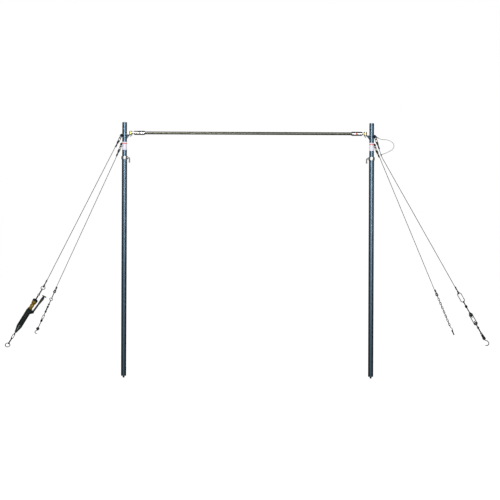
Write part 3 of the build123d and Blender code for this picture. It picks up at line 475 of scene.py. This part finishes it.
looks = {
    "post": post_paint(),
    # Painted shade: the brackets wear the posts' paint, and this darker copy of it darkens them.
    "bracket": worn(
        "shaded_bracket_paint", (0.015, 0.028, 0.045), (0.04, 0.07, 0.11), (0.35, 0.5),
        metallic=0.3, scale=40.0, bumps=0.03,
    ),
    "rail": worn(
        "bare_steel", (0.10, 0.10, 0.08), (0.17, 0.17, 0.14), (0.26, 0.34),
        metallic=1.0, scale=2.0, stretch=(1.0, 30, 30), bumps=0.005,
    ),
    "chrome": worn(
        "chrome_plate", (0.62, 0.63, 0.64), (0.80, 0.81, 0.82), (0.08, 0.20),
        metallic=1.0, scale=1.5, stretch=(20, 60, 60), bumps=0.03,
    ),
    "brass": worn(
        "turned_brass", (0.45, 0.34, 0.10), (0.80, 0.66, 0.26), (0.20, 0.35), metallic=1.0, scale=60.0
    ),
    "zinc": worn(
        "bright_zinc", (0.34, 0.35, 0.35), (0.62, 0.64, 0.63), (0.22, 0.42), metallic=0.9, scale=40.0
    ),
    "galvanised": worn(
        "galvanised_steel", (0.07, 0.08, 0.08), (0.24, 0.26, 0.25), (0.28, 0.45), metallic=0.9, scale=70.0
    ),
    "black": worn(
        "black_steel", (0.006, 0.008, 0.008), (0.022, 0.032, 0.030), (0.22, 0.45), metallic=0.4, scale=55.0
    ),
    "gold": worn(
        "yellow_zinc", (0.28, 0.14, 0.02), (0.85, 0.58, 0.12), (0.20, 0.40), metallic=0.85, scale=30.0
    ),
    "grip": worn(
        "moulded_grip", (0.008, 0.008, 0.009), (0.022, 0.022, 0.023), (0.45, 0.7),
        metallic=0.0, scale=80.0, bumps=0.3,
    ),
    "red": worn(
        "red_film", (0.50, 0.05, 0.04), (0.70, 0.10, 0.08), (0.25, 0.4),
        metallic=0.0, scale=50.0, bumps=0.03,
    ),
    "label": label_film(),
    "thread_lf": threaded("thread_left_front", lf_low, pitch=0.0035, first=0.100, last=1.0),
    "thread_lr": threaded("thread_left_rear", lr, pitch=0.0025, first=2.0, last=2.2),
    "thread_rf": threaded("thread_right_front", rf_low, pitch=0.003, first=1.80, last=2.03),
    "dark_strand": worn(
        "rope_dark", (0.006, 0.004, 0.003), (0.022, 0.015, 0.012), (0.4, 0.6),
        metallic=0.2, scale=300.0, bumps=0.3,
    ),
    # Painted highlight: a lighter copy of the rope's colour, given to half of each rope's strands along the
    # lay.
    "highlit_strand": worn(
        "rope_painted_highlight", (0.11, 0.09, 0.065), (0.24, 0.21, 0.16), (0.35, 0.5),
        metallic=0.4, scale=300.0, bumps=0.3,
    ),
    "sleeve": worn(
        "clear_sleeve", (0.12, 0.12, 0.075), (0.24, 0.24, 0.16), (0.25, 0.4), metallic=0.2, scale=120.0
    ),
    # Painted shade: a darker copy of the sleeve's colour, given to half of the safety tail's strands.
    "sleeve_shade": worn(
        "sleeve_shade", (0.07, 0.07, 0.05), (0.15, 0.15, 0.10), (0.3, 0.45), metallic=0.2, scale=120.0
    ),
}
look_of = {
    "post": [
        "left_foot_plug", "right_foot_plug", "left_outer_tube", "right_outer_tube",
        "left_inner_tube", "right_inner_tube", "tube_caps",
    ],
    "bracket": ["left_bar_bracket", "right_bar_bracket", "left_ears", "right_ears"],
    "zinc": ["left_collar", "right_collar", "left_rail_pin", "right_rail_pin"],
    "rail": ["rail"],
    "chrome": ["left_end_sleeve", "right_end_sleeve", "rail_necks"],
    "brass": ["left_swivel_block", "right_swivel_block"],
    "label": ["label_wraps"],
    "red": ["sleeve_marks"],
    "galvanised": [
        "left_lock_handle", "right_lock_handle", "thimbles", "left_front_joint", "left_rear_turnbuckle",
        "right_front_turnbuckle", "right_front_snap_link", "right_front_snap_gate", "left_rear_hook",
        "right_front_hook", "tensioner_lever", "left_front_anchor_ring",
    ],
    "black": [
        "right_tail_fittings", "stay_shackles", "quick_links", "ferrules", "tensioner_housing",
        "left_front_links", "left_rear_links", "left_rear_swivel", "right_front_swivel",
        "right_rear_chain", "right_rear_hook",
    ],
    "thread_lf": ["tensioner_upper_screw", "tensioner_lower_screw"],
    "thread_lr": ["left_rear_upper_screw", "left_rear_lower_screw"],
    "thread_rf": ["right_front_upper_screw", "right_front_lower_screw"],
    "gold": ["tensioner_barrel"],
    "grip": ["tensioner_grip"],
    "dark_strand": ["left_front_rope", "left_rear_rope", "right_front_rope", "right_rear_rope"],
    "sleeve": ["right_safety_tail"],
}


def dress(piece, *materials):
    piece.data.materials.clear()
    for material in materials:
        piece.data.materials.append(material)


for look, names in look_of.items():
    for name in names:
        dress(nodes[name], looks[look])
# Half of each rope's strands take the lighter copy, as a painted highlight.
for rope in ropes.values():
    dress(rope, looks["dark_strand"], looks["highlit_strand"])
dress(tail, looks["sleeve"], looks["sleeve_shade"])

# ---- floor, light and surroundings ----
FLOOR_REACH = 60.0
FLOOR_FRONT = -30.0
FLOOR_GLOW = 0.985
floor_mesh = bpy.data.meshes.new("floor")
floor_corners = [
    (-FLOOR_REACH, FLOOR_FRONT, 0),
    (FLOOR_REACH, FLOOR_FRONT, 0),
    (FLOOR_REACH, FLOOR_REACH, 0),
    (-FLOOR_REACH, FLOOR_REACH, 0),
]
floor_mesh.from_pydata(floor_corners, [], [(0, 1, 2, 3)])
floor = bpy.data.objects.new("floor", floor_mesh)
floor.location.z = -0.0005
scene.collection.objects.link(floor)
floor_look, _, floor_body = shader("floor_look", grey(0.30), 0.0, 0.9)
floor_body.inputs["Emission Color"].default_value = (*PLAIN, 1)
floor_body.inputs["Emission Strength"].default_value = FLOOR_GLOW
floor_mesh.materials.append(floor_look)
floor.visible_glossy = False

# The camera sees plain white; the metal reflects a room that is bright in front and dark behind.
world = bpy.data.worlds.new("surroundings")
scene.world = world
world.use_nodes = True
air = world.node_tree
depth = share_of(air, axis_of(air, "Generated", "Y"), -1.0, 1.0)
room = ramp(air, depth, [(0.0, grey(1.0)), (0.07, grey(0.6)), (0.2, grey(0.06)), (1.0, grey(0.02))])
path = new(air, "ShaderNodeLightPath")
seen = new(air, "ShaderNodeMix", data_type="RGBA")
air.links.new(path.outputs["Is Camera Ray"], seen.inputs[0])
air.links.new(room, seen.inputs[MIX_A])
seen.inputs[MIX_B].default_value = (*PLAIN, 1)
air.links.new(seen.outputs[MIX_RESULT], air.nodes["Background"].inputs["Color"])

MIDDLE = (0, 0, 1.2)


def soft_light(name, place, size, power):
    """Square area light, turned to the middle of the object."""
    data = bpy.data.lights.new(name, "AREA")
    data.energy = power
    data.size = size
    lamp = bpy.data.objects.new(name, data)
    lamp.location = place
    lamp.rotation_euler = (Vector(MIDDLE) - Vector(place)).to_track_quat("-Z", "Y").to_euler()
    scene.collection.objects.link(lamp)


soft_light("key", (-2.0, -9.0, 4.5), size=3.0, power=420)
soft_light("fill", (2.5, -8.0, 2.5), size=2.0, power=120)
soft_light("back", (-5.0, 7.0, 5.0), size=3.0, power=90)
scene.view_settings.view_transform = "Standard"
